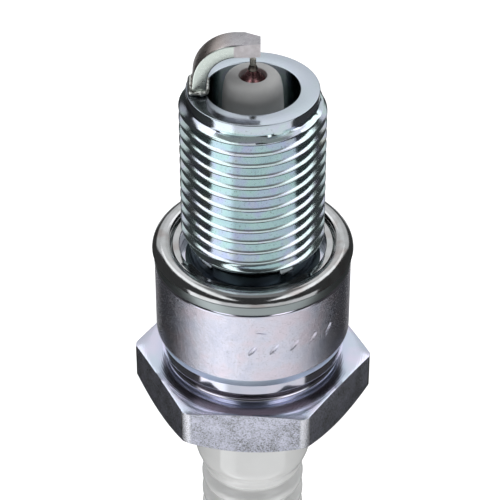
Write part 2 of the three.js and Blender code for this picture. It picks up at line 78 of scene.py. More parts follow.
# Shell: neck, body, waist, lip above the hexagon, hexagon, collar and bores
NECK_RADIUS = 6.1
NECK_TOP = -16.75
SEAT = -19.4
BODY_RADIUS = 9.6
MATTE_TOP = -19.7
MATTE_BOTTOM = -27.5
WAIST_RADIUS = 9.22
WAIST_TOP = -28.5
WAIST_BOTTOM = -29.56
LIP_RADIUS = 8.78
LIP_FOOT_RADIUS = 8.64
HEX_TOP = -31.3
HEX_BOTTOM = -36.1
FLAT_DISTANCE = 10.4
HEX_CORNER_RADIUS = 11.84
HEX_CHAMFER = math.radians(30)
HEX_TOP_FALL = 0.12
COLLAR_RADIUS = 8.35
NOSE_BORE_RADIUS = 4.4
LEDGE_RADIUS = 3.95
STEM_BORE_RADIUS = 5.15
PACKING_BORE_RADIUS = 7.4

# Plain slanted ticks on the body, and one scratch: (angle, height, lean, length, width)
TICK_COUNT = 5
FIRST_TICK_ANGLE = 4
TICK_STEP = 12.4
TICK_HEIGHT = -23.7
TICK_LEAN = math.radians(35)
TICK_LENGTH = 1.45
TICK_WIDTH = 0.5
MARK_DEPTH = 0.22
SCRATCH = (9, -21.6, math.radians(100), 1.1, 0.09)

# Gasket
GASKET_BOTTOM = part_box("gasket")[0].z / MM - FIRING_END
GASKET_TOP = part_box("gasket")[1].z / MM - FIRING_END
GASKET_RADIUS = 9.82
GASKET_LAYER_RADIUS = 9.66
GASKET_CREASE = -18.34
GASKET_ROLL = 1.12
GASKET_BORE_RADIUS = 7.15
GASKET_LIP_RADIUS = 7.85
GASKET_LIP_TOP = -17.85
STAKE_ANGLES = [131 + 90 * i for i in range(4)]
STAKE_HALF_WIDTH = 9.5
STAKE_EDGE = 1.5
STAKE_OUTER_RADIUS = 7.95
STAKE_SPAN = 0.8
STAKE_FOOT = -18.4
STAKE_PUSH_IN = 0.5
STAKE_PUSH_DOWN = 0.3

# Electrodes. STRAP_DIRECTION is counted from +X, and each of STRAP_TRIMS is (side, distance from
# the axis where the cut starts, half width left at the tip). The cuts touch only what is higher
# than TRIM_ABOVE and nearer than TRIM_WITHIN.
STRAP_THICKNESS = 1.36
STRAP_WIDTH = 2.5
STRAP_BEND = 2.75
STRAP_LEAN = math.radians(5)
STRAP_ROOT_RADIUS = 4.35
STRAP_OVERHANG = 0.7
STRAP_DIRECTION = 184
LEG_POINTS = 7
BEND_POINTS = 29
ARM_POINTS = 14
STRAP_TRIMS = [(1, 1.75, 1.0), (-1, 1.0, 0.4)]
TRIM_ABOVE = 2.5
TRIM_WITHIN = 2.2
WELD_SECTION_POINTS = 14
STRAP_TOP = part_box("ground_electrode")[1].z / MM - FIRING_END
WIRE_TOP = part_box("iridium_tip")[1].z / MM - FIRING_END
WIRE_RADIUS = 0.3
CONE_RADIUS = 1.2
CONE_TOP = 2.02
BEAD_TOP = 2.57
JOIN_GAP = 0.01

# Colour changes on the shell: heat tint and painted shade round the strap's weld, tarnish, turning
# marks, worn corners
BURN_AND_SHADE_CENTRE = (-STRAP_ROOT_RADIUS, -1.2, 0)
BURN_AND_SHADE_REACH = 4.0
BURN_AND_SHADE_CORE = 1.6
RING_TINT_DEPTH = 0.3
TARNISH_DEPTH = 1.1
TURNED_TINT = (8.7, 9.9)
TURNED_MARK_SPACING = 0.22
WAVE_RING_STEP = 0.32
CORNER_WEAR = 0.12

# Insulator
NOSE_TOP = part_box("insulator")[1].z / MM - FIRING_END
INSULATOR_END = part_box("insulator")[0].z / MM - FIRING_END
ELECTRODE_HOLE_RADIUS = 1.3
STEM_RADIUS = 5.0
SHOULDER_RADIUS = 7.2
BARREL_RADIUS = 5.95
BARREL_END = -44
GLAZE_TOP = -33
RIB_COUNT = 5
RIB_START = -45
RIB_SPACING = 2.3
RIB_RADIUS = 5.3
RIB_GROOVE_RADIUS = 4.6

# Terminal
STUD_PITCH = 0.7
STUD_CREST_RADIUS = 1.95
STUD_ROOT_RADIUS = 1.58
STUD_THREAD_LOW = -67.0
STUD_COLLAR_RADIUS = 2.9
STUD_COLLAR_HEIGHT = 0.8
STUD_SHANK_RADIUS = 1.9
NUT_RADIUS = 3.16
NUT_GROOVE_RADIUS = 2.55
NUT_BORE_RADIUS = 2.03

# Camera: degrees, mm, and the lens in mm
VIEW_AZIMUTH = 4.1
VIEW_ELEVATION = 37.5
VIEW_DISTANCE = 220.0
VIEW_HEIGHT = -18.9
VIEW_SIDE_SHIFT = -0.27
LENS = 162.3

# Floor, low enough for the terminal nut to come off above it
FLOOR_HEIGHT = -9
FLOOR_GLOW = 0.62

# Light that gives no reflections, in metres and watts
KEY_PLACE = Vector((0.1, 0.1, 0.6))
KEY_AIM = Vector((0, 0, 0.04))
KEY_SIZE = 0.4
KEY_POWER = 0.7

# Brightness of the world's panels, which the metal reflects. LEFT_LIGHT adds to FRONT_LIGHT, and
# ROOM_LIGHT adds to everything.
STRIP_LIGHT = 1.5
GAP_LIGHT = 0.22
BACKDROP_LIGHT = 0.66
TABLE_LIGHT = 0.45
FRONT_LIGHT = 0.78
LEFT_LIGHT = 0.6
ROOM_LIGHT = 0.05
WORLD_COLOUR = (0.97, 0.985, 1.0, 1)

# Edges of the panels, each as (dark side, bright side). Edges of height and depth are limits on the
# direction's parts upward and away from the front. Edges of the strips, the gap and the sides are
# limits on its sideways part, divided by its part upward, away or towards the front.
OVERHEAD_EDGE = (0.5, 0.62)
STRIP_INNER_EDGE = (0.36, 0.56)
STRIP_OUTER_EDGE = (0.98, 0.86)
GAP_EDGE = (0.56, 0.36)
GAP_FRONT_EDGE = (-0.4, -0.2)
BACKDROP_DEPTH_EDGE = (0.3, 0.42)
BACKDROP_LOWER_EDGE = (0.15, 0.3)
BACKDROP_SIDE_EDGE = (1.1, 0.9)
TABLE_DEPTH_EDGE = (0.5, 0.62)
TABLE_TOP_EDGE = (-0.05, -0.2)
TABLE_SIDE_EDGE = (0.5, 0.38)
FRONT_SIDE_EDGE = (2.9, 2.55)
FRONT_TOP_EDGE = (0.12, -0.02)
FRONT_LOWER_EDGE = (-0.99, -0.95)
LEFT_EDGE = (-0.55, -0.8)


# ---- Outlines and turned surfaces ----

def rounded(corners, closed=True):
    """Outline points from (radius, height, cut) corners, each cut back and rounded by a curve."""
    points = []
    for i, (radius, height, cut) in enumerate(corners):
        at_end = not closed and i in (0, len(corners) - 1)
        if cut == 0 or at_end:
            points.append((radius, height))
            continue
        corner = np.array((radius, height))
        before = np.array(corners[i - 1][:2]) - corner
        after = np.array(corners[(i + 1) % len(corners)][:2]) - corner
        start = corner + before * min(0.5, cut / np.linalg.norm(before))
        end = corner + after * min(0.5, cut / np.linalg.norm(after))
        for step in np.linspace(0, 1, FILLET_STEPS + 1):
            inner = (1 - step) * (1 - step) * start + 2 * step * (1 - step) * corner
            points.append(tuple(inner + step * step * end))
    return points


def turns():
    """The columns' angles round the axis, as shares of a turn."""
    return np.arange(COLUMNS) / COLUMNS


def thread_rows(low, high, first_crest, pitch, section, core, height_share):
    """Rows that follow a right-hand helix between two heights, for a section of (offset, lift)."""
    rows = []
    lowest = math.floor((low - first_crest) / pitch) - 1
    highest = math.ceil((high - first_crest) / pitch) + 1
    for winding in range(lowest, highest + 1):
        crest = first_crest + (winding + turns()) * pitch
        share = height_share((first_crest - crest) / pitch)
        for offset, lift in section:
            heights = np.clip(crest + offset, low, high)
            rows.append((core(heights) + lift * share, heights))
    return rows


def surface(name, rows, helix=None, closed=True):
    """An object turned from rows of (radius, height), each a number or one value per column.

    helix is (first row, row after the last, rows per pitch) of the part that winds up."""
    angles = turns() * 2 * math.pi
    points = np.zeros((len(rows), COLUMNS, 3))
    for i, (radius, height) in enumerate(rows):
        points[i, :, 0] = radius * np.sin(angles)
        points[i, :, 1] = -radius * np.cos(angles)
        points[i, :, 2] = height
    next_turn = list(range(len(rows)))
    if helix:
        first, after, step = helix
        next_turn[first:after] = [min(i + step, after - 1) for i in range(first, after)]
    faces = []
    for i in range(len(rows) if closed else len(rows) - 1):
        above = (i + 1) % len(rows)
        for column in range(COLUMNS - 1):
            a = i * COLUMNS + column
            b = above * COLUMNS + column
            faces.append((a, a + 1, b + 1, b))
        ends = (next_turn[i] * COLUMNS, next_turn[above] * COLUMNS)
        last = COLUMNS - 1
        faces.append((i * COLUMNS + last, ends[0], ends[1], above * COLUMNS + last))
    return finished(name, points.reshape(-1, 3), faces)


def finished(name, points, faces):
    """An object from points in mm above the firing end, cleaned, with smooth shading."""
    mesh = bpy.data.meshes.new(name)
    placed = (np.asarray(points) + (0, 0, FIRING_END)) * MM
    mesh.from_pydata(placed.tolist(), [], faces)
    made = bmesh.new()
    made.from_mesh(mesh)
    bmesh.ops.remove_doubles(made, verts=made.verts, dist=1e-4 * MM)
    bmesh.ops.dissolve_degenerate(made, edges=made.edges, dist=1e-4 * MM)
    bmesh.ops.recalc_face_normals(made, faces=made.faces)
    made.to_mesh(mesh)
    made.free()
    smooth(mesh)
    thing = bpy.data.objects.new(name, mesh)
    bpy.context.scene.collection.objects.link(thing)
    return thing


def smooth(mesh):
    """Smooth shading with sharp edges where the faces turn by more than SHARP_ANGLE."""
    mesh.shade_smooth()
    mesh.set_sharp_from_angle(angle=SHARP_ANGLE)


def keep(thing, body, slot, material, *nodes):
    """Puts a finished piece on its CAD body, with its material and the nodes it stands for."""
    thing.data.materials.append(material)
    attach(thing, body)
    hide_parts(*nodes)
    return thing


# ---- Node helpers ----

class Nodes:
    """A node tree whose nodes are added one call at a time."""

    def __init__(self, tree):
        self.tree = tree

    def add(self, kind, inputs=None, **settings):
        node = self.tree.nodes.new(kind)
        for key, value in settings.items():
            setattr(node, key, value)
        for key, value in (inputs or {}).items():
            self.feed(node.inputs[key], value)
        return node

    def feed(self, socket, value):
        if isinstance(value, bpy.types.NodeSocket):
            self.tree.links.new(value, socket)
        else:
            socket.default_value = value

    def math(self, operation, a, b=0.0):
        return self.add("ShaderNodeMath", {0: a, 1: b}, operation=operation).outputs[0]

    def product(self, first, *others):
        for other in others:
            first = self.math("MULTIPLY", first, other)
        return first

    def rise(self, value, start, end, most=1.0, curve="LINEAR"):
        """0 at start, growing to most at end."""
        inputs = {0: value, 1: start, 2: end, 4: most}
        return self.add("ShaderNodeMapRange", inputs, interpolation_type=curve).outputs[0]


class Paint(Nodes):
    """A Principled material."""

    def __init__(self, name, **constants):
        self.material = bpy.data.materials.new(name)
        self.material.use_nodes = True
        super().__init__(self.material.node_tree)
        self.shader = self.tree.nodes["Principled BSDF"]
        for socket, value in constants.items():
            self.shader.inputs[socket.replace("_", " ")].default_value = value

    def place(self, scale=(1, 1, 1)):
        """Position in the part's frame, in metres, stretched."""
        coordinates = self.add("ShaderNodeTexCoord")
        vector = coordinates.outputs["Object"]
        return self.add("ShaderNodeMapping", {"Vector": vector, "Scale": scale}).outputs[0]

    def height(self):
        """Height above the firing end, in mm."""
        coordinates = self.add("ShaderNodeTexCoord")
        parts = self.add("ShaderNodeSeparateXYZ", {0: coordinates.outputs["Object"]})
        return self.math("SUBTRACT", self.math("MULTIPLY", parts.outputs[2], 1 / MM), FIRING_END)

    def radius(self):
        """Distance from the plug's axis, in mm."""
        flat = self.place((1, 1, 0))
        length = self.add("ShaderNodeVectorMath", {0: flat}, operation="LENGTH")
        return self.math("MULTIPLY", length.outputs["Value"], 1 / MM)

    def distance(self, place):
        """Distance from a place in mm, in metres."""
        inputs = {0: self.place(), 1: Vector(place) * MM}
        return self.add("ShaderNodeVectorMath", inputs, operation="DISTANCE").outputs["Value"]

    def facing(self):
        """The surface's direction, as its three parts."""
        normal = self.add("ShaderNodeTexCoord").outputs["Normal"]
        return self.add("ShaderNodeSeparateXYZ", {0: normal}).outputs

    def blend(self, share, a, b):
        """A number between a and b."""
        node = self.add("ShaderNodeMix", {0: share}, data_type="FLOAT")
        self.feed(node.inputs[2], a)
        self.feed(node.inputs[3], b)
        return node.outputs[0]

    def band(self, value, low, high, soft=0.05):
        """1 between low and high, fading to 0 within soft of each."""
        up = self.rise(value, low - soft, low + soft)
        down = self.rise(value, high + soft, high - soft)
        return self.math("MULTIPLY", up, down)

    def noise(self, grain, detail=3.0, scale=(1, 1, 1), rough=0.5):
        """Noise from 0 to 1, whose grains are about this many mm across."""
        inputs = {"Vector": self.place(scale), "Scale": 1 / (grain * MM),
                  "Detail": detail, "Roughness": rough}
        return self.add("ShaderNodeTexNoise", inputs).outputs[0]

    def ramp(self, value, stops):
        """A colour ramp with stops of (place, colour)."""
        node = self.add("ShaderNodeValToRGB", {0: value})
        elements = node.color_ramp.elements
        while len(elements) < len(stops):
            elements.new(0.5)
        for element, (place, colour) in zip(elements, stops):
            element.position = place
            element.color = (*colour, 1)
        return node.outputs[0]

    def between(self, value, low, high):
        """Maps 0..1 to low..high."""
        node = self.add("ShaderNodeMapRange", {0: value, 3: low, 4: high})
        return node.outputs[0]

    def mix(self, share, a, b):
        """A colour between a and b."""
        node = self.add("ShaderNodeMix", data_type="RGBA")
        self.feed(node.inputs[0], share)
        self.feed(node.inputs[6], a if isinstance(a, bpy.types.NodeSocket) else (*a, 1))
        self.feed(node.inputs[7], b if isinstance(b, bpy.types.NodeSocket) else (*b, 1))
        return node.outputs[2]

    def bump(self, height, depth, strength=1.0, under=None):
        """Bump of a depth in mm, on top of another bump."""
        inputs = {"Height": height, "Distance": depth * MM, "Strength": strength}
        if under is not None:
            inputs["Normal"] = under
        return self.add("ShaderNodeBump", inputs).outputs[0]

    def finish(self, colour, roughness=None, normal=None):
        for name, value in (("Base Color", colour), ("Roughness", roughness), ("Normal", normal)):
            if value is not None:
                self.feed(self.shader.inputs[name], value)
        return self.material


# ---- Materials ----

def thread_zinc():
    """Bright passivated zinc, mint to lilac, darkened round the strap's weld by heat tint and painted
    shade, and at the neck under the thread by painted shade.
    """
    paint = Paint("thread_zinc", Metallic=1.0)
    tint = paint.ramp(paint.noise(3.2, 2, (1, 1, 1.6)), [
        (0.34, (0.62, 0.74, 0.77)), (0.48, (0.66, 0.80, 0.79)),
        (0.58, (0.68, 0.72, 0.85)), (0.7, (0.74, 0.79, 0.74))])
    height = paint.height()
    specks = paint.rise(paint.noise(0.2, 4), 0.6, 0.74, 0.5)
    colour = paint.mix(specks, tint, (0.34, 0.33, 0.32))
    ring = paint.band(height, -RING_TINT_DEPTH, 1.0, 0.1)
    colour = paint.mix(paint.math("MULTIPLY", ring, 0.8), colour, (0.62, 0.68, 0.76))
    # Dark patch round the strap's weld: partly heat tint of the plating, partly painted shade of the
    # strap.
    weld = Vector(BURN_AND_SHADE_CENTRE) + Vector((0, 0, FIRING_END))
    burnt = paint.rise(paint.distance(weld), BURN_AND_SHADE_REACH * MM, BURN_AND_SHADE_CORE * MM, 0.85)
    colour = paint.mix(burnt, colour, (0.09, 0.10, 0.12))
    # Painted shade: the neck between the thread and the gasket is darkened where shade falls in the
    # groove.
    painted_shade_neck = paint.band(height, SEAT - 1, NECK_TOP - 0.25, 0.15)
    colour = paint.mix(paint.math("MULTIPLY", painted_shade_neck, 0.8), colour, (0.26, 0.29, 0.32))
    roughness = paint.between(paint.noise(0.8, 4), 0.05, 0.15)
    normal = paint.bump(paint.noise(0.12, 4, (1, 1, 2)), 0.003)
    return paint.finish(colour, roughness, normal)


def body_zinc():
    """Satin, grainy plating, a polished band above it, and a blue and a tarnished band below."""
    paint = Paint("body_zinc", Metallic=1.0)
    height = paint.height()
    matte = paint.band(height, MATTE_BOTTOM, MATTE_TOP, 0.03)
    satin = paint.ramp(paint.noise(2.5, 3), [
        (0.35, (0.76, 0.77, 0.90)), (0.5, (0.83, 0.82, 0.93)), (0.65, (0.86, 0.79, 0.88))])
    grain = paint.noise(0.13, 4, rough=0.8)
    pits = paint.rise(grain, 0.54, 0.66, 0.65)
    satin = paint.mix(pits, satin, (0.34, 0.34, 0.38))
    polished = paint.ramp(paint.noise(2.0, 2), [
        (0.35, (0.66, 0.68, 0.78)), (0.65, (0.74, 0.70, 0.80))])
    colour = paint.mix(matte, polished, satin)
    blue = paint.band(height, WAIST_TOP, MATTE_BOTTOM, 0.06)
    colour = paint.mix(paint.math("MULTIPLY", blue, 0.85), colour, (0.62, 0.72, 0.84))
    tarnish = paint.band(height, WAIST_BOTTOM - TARNISH_DEPTH, WAIST_BOTTOM, 0.08)
    colour = paint.mix(paint.math("MULTIPLY", tarnish, 0.9), colour, (0.10, 0.07, 0.08))
    roughness = paint.blend(matte, 0.1, paint.between(grain, 0.14, 0.36))
    roughness = paint.blend(blue, roughness, 0.4)
    normal = paint.bump(grain, 0.04, strength=paint.math("MULTIPLY", matte, 0.9))
    return paint.finish(colour, roughness, normal)


def hexagon_zinc():
    """Turning marks on the top face, a rough, mottled skin on the flats, worn corners."""
    paint = Paint("hexagon_zinc", Metallic=1.0)
    top = paint.band(paint.facing()[2], 0.6, 1.5, 0.1)
    corner = paint.band(paint.radius(), HEX_CORNER_RADIUS - CORNER_WEAR, HEX_CORNER_RADIUS + 1, 0.05)
    wave = {"Vector": paint.place(), "Scale": WAVE_RING_STEP / (TURNED_MARK_SPACING * MM),
            "Distortion": 0.35, "Detail": 2.0, "Detail Scale": 0.6}
    rings = paint.add("ShaderNodeTexWave", wave, wave_type="RINGS", rings_direction="Z").outputs[0]
    turned = paint.ramp(paint.noise(2.6, 2), [
        (0.35, (0.64, 0.71, 0.82)), (0.6, (0.74, 0.72, 0.86))])
    turned = paint.mix(paint.rise(paint.radius(), *TURNED_TINT), (0.62, 0.67, 0.84), turned)
    grain = paint.noise(0.15, 4, rough=0.8)
    patches = paint.noise(1.6, 4, rough=0.6)
    uneven = paint.blend(0.28, grain, patches)
    skin = paint.ramp(uneven, [
        (0.40, (0.20, 0.20, 0.20)), (0.49, (0.58, 0.59, 0.68)), (0.58, (0.80, 0.80, 0.92))])
    skin = paint.mix(paint.math("MULTIPLY", corner, 0.8), skin, (0.86, 0.86, 0.90))
    colour = paint.mix(top, skin, turned)
    side_roughness = paint.blend(corner, paint.between(grain, 0.24, 0.5), 0.16)
    roughness = paint.blend(top, side_roughness, 0.2)
    side = paint.math("SUBTRACT", 1.0, top)
    marks = paint.bump(rings, 0.004, strength=paint.math("MULTIPLY", top, 0.5))
    normal = paint.bump(uneven, 0.08, strength=paint.math("MULTIPLY", side, 0.9), under=marks)
    return paint.finish(colour, roughness, normal)


def gasket_zinc():
    """Smooth, brownish steel on the roll and a dull greenish lower layer."""
    paint = Paint("gasket_zinc", Metallic=1.0)
    colour = paint.ramp(paint.noise(2.4, 2, (1, 1, 2)), [
        (0.34, (0.44, 0.41, 0.40)), (0.5, (0.54, 0.55, 0.55)), (0.66, (0.60, 0.60, 0.61))])
    lower = paint.band(paint.height(), GASKET_BOTTOM - 1, GASKET_CREASE, 0.04)
    colour = paint.mix(lower, colour, (0.38, 0.42, 0.42))
    roughness = paint.between(paint.noise(0.5, 4), 0.08, 0.16)
    roughness = paint.blend(lower, roughness, 0.36)
    normal = paint.bump(paint.noise(0.9, 2, (1, 1, 5)), 0.008)
    return paint.finish(colour, roughness, normal)


def strap_nickel():
    """Nickel alloy with painted highlight set by which way each face turns: warm and lighter on faces
    turned away from the axis, pale green on the sides.
    """
    paint = Paint("strap_nickel", Metallic=1.0)
    colour = paint.ramp(paint.noise(1.1, 3), [
        (0.35, (0.40, 0.38, 0.41)), (0.5, (0.50, 0.49, 0.51)), (0.68, (0.46, 0.42, 0.45))])
    along_x, along_y, _ = paint.facing()
    # Painted highlight: faces turned away from the axis, over the bend, get a lighter warm colour.
    painted_highlight_outer = paint.band(along_x, -2.0, -0.25, 0.2)
    colour = paint.mix(paint.math("MULTIPLY", painted_highlight_outer, 0.8), colour, (0.58, 0.50, 0.46))
    # Painted highlight: faces turned sideways get a pale green colour.
    side = paint.band(paint.math("ABSOLUTE", along_y), 0.75, 1.5, 0.12)
    colour = paint.mix(side, colour, (0.84, 0.91, 0.85))
    roughness = paint.between(paint.noise(0.3, 4), 0.2, 0.38)
    normal = paint.bump(paint.noise(0.09, 4), 0.006)
    return paint.finish(colour, roughness, normal)


def cut_nickel():
    """The sheared sides of the strap's tip."""
    paint = Paint("cut_nickel", Metallic=1.0)
    colour = paint.ramp(paint.noise(0.5, 4), [(0.35, (0.80, 0.75, 0.76)), (0.65, (0.93, 0.88, 0.90))])
    normal = paint.bump(paint.noise(0.14, 4, (1, 1, 0.3)), 0.02)
    return paint.finish(colour, paint.between(paint.noise(0.2), 0.4, 0.6), normal)


def weld_metal():
    """Weld spatter, from burnt to bright."""
    paint = Paint("weld_metal", Metallic=1.0)
    colour = paint.ramp(paint.noise(0.4, 4), [
        (0.38, (0.24, 0.25, 0.23)), (0.5, (0.62, 0.64, 0.61)), (0.62, (0.84, 0.86, 0.82))])
    roughness = paint.between(paint.noise(0.3, 4), 0.18, 0.42)
    return paint.finish(colour, roughness, paint.bump(paint.noise(0.2, 4), 0.03))


def white_alumina():
    """The unglazed nose, white ceramic coloured grey as painted shade."""
    paint = Paint("white_alumina", Roughness=0.55, Specular_IOR_Level=0.3)
    # Painted shade: the white ceramic is given a grey colour for the shade it sits in.
    colour = paint.ramp(paint.noise(1.5, 4), [
        (0.35, (0.50, 0.50, 0.495)), (0.6, (0.55, 0.55, 0.545))])
    return paint.finish(colour, None, paint.bump(paint.noise(0.12, 4), 0.004))


def glazed_alumina():
    """The white, glossy barrel and ribs."""
    paint = Paint("glazed_alumina", Roughness=0.12, Coat_Weight=0.6, Coat_Roughness=0.05)
    colour = paint.ramp(paint.noise(4.0, 3), [
        (0.35, (0.83, 0.83, 0.82)), (0.65, (0.88, 0.88, 0.87))])
    return paint.finish(colour, None, paint.bump(paint.noise(3.0, 2), 0.02))


def metal(name, dark, light, rough_low, rough_high, grain=0.3, depth=0.006):
    """A plain metal with uneven colour, gloss and surface. The grain is in mm."""
    paint = Paint(name, Metallic=1.0)
    colour = paint.ramp(paint.noise(grain * 3, 3), [(0.35, dark), (0.65, light)])
    roughness = paint.between(paint.noise(grain, 4), rough_low, rough_high)
    return paint.finish(colour, roughness, paint.bump(paint.noise(grain / 2, 4), depth))


def mineral(name, dark, light, roughness, grain=0.4, depth=0.02):
    """A plain unglazed powder, glass or fired filling."""
    paint = Paint(name, Roughness=roughness)
    colour = paint.ramp(paint.noise(grain, 5), [(0.35, dark), (0.65, light)])
    return paint.finish(colour, None, paint.bump(paint.noise(grain / 2, 4), depth))


# ---- Shell ----

def full_height(along):
    """Share of the thread's height at turns below its first crest, run out at both ends."""
    from_end = np.minimum(along + FIRST_TURN_LEAD, THREAD_TURNS - along)
    return np.clip(RUN_OUT_HEIGHT + from_end / RUN_OUT_TURNS, 0, 1) * (from_end > -RUN_OUT_TAIL)


def shell_core(heights):
    """Radius of the shell that the thread stands on."""
    upper = np.interp(heights, LEAD_IN_FADE, [ROOT_RADIUS, LEAD_IN_RADIUS])
    return np.where(heights < NECK_TOP, NECK_RADIUS, upper)


def lead_in_cone(heights):
    """Radius that the thread's first turn is chamfered to."""
    return LEAD_IN_RADIUS + np.clip((LEAD_IN_FOOT - heights) * LEAD_IN_SLOPE, 0, 1)


def thread_section():
    """(distance along the axis from the crest, height above the root) over one ridge."""
    depth = CREST_RADIUS - ROOT_RADIUS
    half_section = [(0.05, depth), (0.085, depth - 0.008), (0.115, depth - 0.04),
                    (0.2, depth - 0.187), (0.37, depth - 0.48), (0.5, 0.053), (0.545, 0.012),
                    (0.59, 0.0)]
    return [(-x, lift) for x, lift in reversed(half_section)] + half_section


def shell_thread():
    """The thread with the neck below it, the ring above it and the bore inside."""
    section = thread_section()
    wound = thread_rows(THREAD_LOW, THREAD_HIGH, FIRST_CREST, PITCH, section, shell_core,
                        full_height)
    wound = [(np.minimum(radius, lead_in_cone(heights)), heights) for radius, heights in wound]
    below = rounded([
        (STEM_BORE_RADIUS, SEAT + 0.02, 0),
        (NECK_RADIUS + 0.5, SEAT + 0.02, 0),
        (NECK_RADIUS, SEAT + 0.3, 0.3),
        (NECK_RADIUS, THREAD_LOW - 0.1, 0),
    ], closed=False)
    above = rounded([
        (LEAD_IN_RADIUS, THREAD_HIGH + 0.1, 0),
        (LEAD_IN_RADIUS, 0, 0.12),
        (NOSE_BORE_RADIUS, 0, 0.15),
        (NOSE_BORE_RADIUS, -13.0, 0.1),
        (LEDGE_RADIUS, -13.5, 0.1),
        (LEDGE_RADIUS, -15.2, 0.1),
        (STEM_BORE_RADIUS, -16.1, 0.1),
        (STEM_BORE_RADIUS, SEAT + 1, 0),
    ], closed=False)
    helix = (len(below), len(below) + len(wound), len(section))
    return surface("shell_thread", below + wound + above, helix)


def shell_body():
    """The plain cylinder with its seat, waist and lip, and the packing bore inside."""
    body = surface("shell_body", rounded([
        (STEM_BORE_RADIUS, SEAT, 0),
        (BODY_RADIUS - 0.16, SEAT, 0.05),
        (BODY_RADIUS, SEAT - 0.18, 0.06),
        (BODY_RADIUS, MATTE_BOTTOM, 0.08),
        (WAIST_RADIUS, WAIST_TOP, 0.05),
        (WAIST_RADIUS, WAIST_BOTTOM, 0.05),
        (8.92, -30.0, 0.1),
        (LIP_FOOT_RADIUS, -30.62, 0.12),
        (LIP_FOOT_RADIUS, -30.7, 0.05),
        (LIP_RADIUS, -30.8, 0.05),
        (LIP_RADIUS, -30.96, 0.07),
        (LIP_FOOT_RADIUS, -31.06, 0.05),
        (LIP_FOOT_RADIUS, HEX_TOP + 0.01, 0),
        (PACKING_BORE_RADIUS, HEX_TOP + 0.01, 0),
        (PACKING_BORE_RADIUS, -28.4, 0.2),
        (STEM_BORE_RADIUS, -26.6, 0.2),
    ]))
    ticks = [(FIRST_TICK_ANGLE + TICK_STEP * i, TICK_HEIGHT, TICK_LEAN, TICK_LENGTH, TICK_WIDTH)
             for i in range(TICK_COUNT)]
    engrave(body, ticks + [SCRATCH])
    return body


def mark_cutter(angle, height, lean, length, width):
    """A flattened ball that dips into the body's surface by four fifths of MARK_DEPTH."""
    mesh = bpy.data.meshes.new("mark_cutter")
    made = bmesh.new()
    bmesh.ops.create_uvsphere(made, u_segments=16, v_segments=24, radius=0.5)
    stretch = Matrix.Diagonal((width, 2 * MARK_DEPTH, length, 1))
    made.transform(Matrix.Rotation(lean, 4, "Y") @ stretch)
    made.transform(Matrix.Translation((0, -BODY_RADIUS - MARK_DEPTH * 0.2, height + FIRING_END)))
    made.transform(Matrix.Scale(MM, 4) @ Matrix.Rotation(math.radians(angle), 4, "Z"))
    made.to_mesh(mesh)
    made.free()
    cutter = bpy.data.objects.new("mark_cutter", mesh)
    bpy.context.scene.collection.objects.link(cutter)
    return cutter


def engrave(thing, marks):
    """Cuts (angle, height, lean, length, width) marks into a surface of the body's radius."""
    for mark in marks:
        cutter = mark_cutter(*mark)
        modifier = thing.modifiers.new("mark", "BOOLEAN")
        modifier.operation = "DIFFERENCE"
        modifier.solver = "EXACT"
        modifier.object = cutter
        bpy.context.view_layer.update()
        depsgraph = bpy.context.evaluated_depsgraph_get()
        cut = bpy.data.meshes.new_from_object(thing.evaluated_get(depsgraph))
        thing.modifiers.clear()
        thing.data = cut
        cutter_mesh = cutter.data
        bpy.data.objects.remove(cutter)
        bpy.data.meshes.remove(cutter_mesh)
    smooth(thing.data)


def hexagon_radius():
    """Radius of the hexagon at each column, with its corners turned off."""
    sector = math.radians(60)
    angles = (turns() * 2 * math.pi + sector / 2) % sector - sector / 2
    return np.minimum(FLAT_DISTANCE / np.cos(angles), HEX_CORNER_RADIUS)


def shell_hexagon():
    """The hexagon, chamfered below, with worn edges and a top that falls to the corners."""
    radius = hexagon_radius()
    chamfer = HEX_BOTTOM + (radius - FLAT_DISTANCE) * math.tan(HEX_CHAMFER)
    fall = HEX_TOP_FALL * (radius - FLAT_DISTANCE)
    rows = [
        (PACKING_BORE_RADIUS, HEX_BOTTOM),
        (FLAT_DISTANCE - 0.15, HEX_BOTTOM),
        (FLAT_DISTANCE - 0.03, HEX_BOTTOM + 0.02),
        (radius - 0.06, chamfer - 0.005),
        (radius - 0.015, chamfer + 0.03),
        (radius, chamfer + 0.09),
        (radius, HEX_TOP - fall - 0.1),
        (radius - 0.015, HEX_TOP - fall - 0.03),
        (radius - 0.07, HEX_TOP - fall),
        (np.minimum(radius - 0.5, FLAT_DISTANCE - 0.1), HEX_TOP),
        (PACKING_BORE_RADIUS, HEX_TOP),
    ]
    return surface("shell_hexagon", rows)


def shell_collar():
    """The collar below the hexagon, rolled in over the packing."""
    return surface("shell_collar", rounded([
        (PACKING_BORE_RADIUS, HEX_BOTTOM - 0.01, 0),
        (PACKING_BORE_RADIUS, -37.75, 0.2),
        (6.65, -38.35, 0.1),
        (6.6, -38.7, 0.1),
        (7.1, -38.74, 0.2),
        (8.1, -38.2, 0.5),
        (COLLAR_RADIUS, -37.3, 0.4),
        (COLLAR_RADIUS, HEX_BOTTOM - 0.01, 0),
    ][::-1]))


# ---- Gasket ----

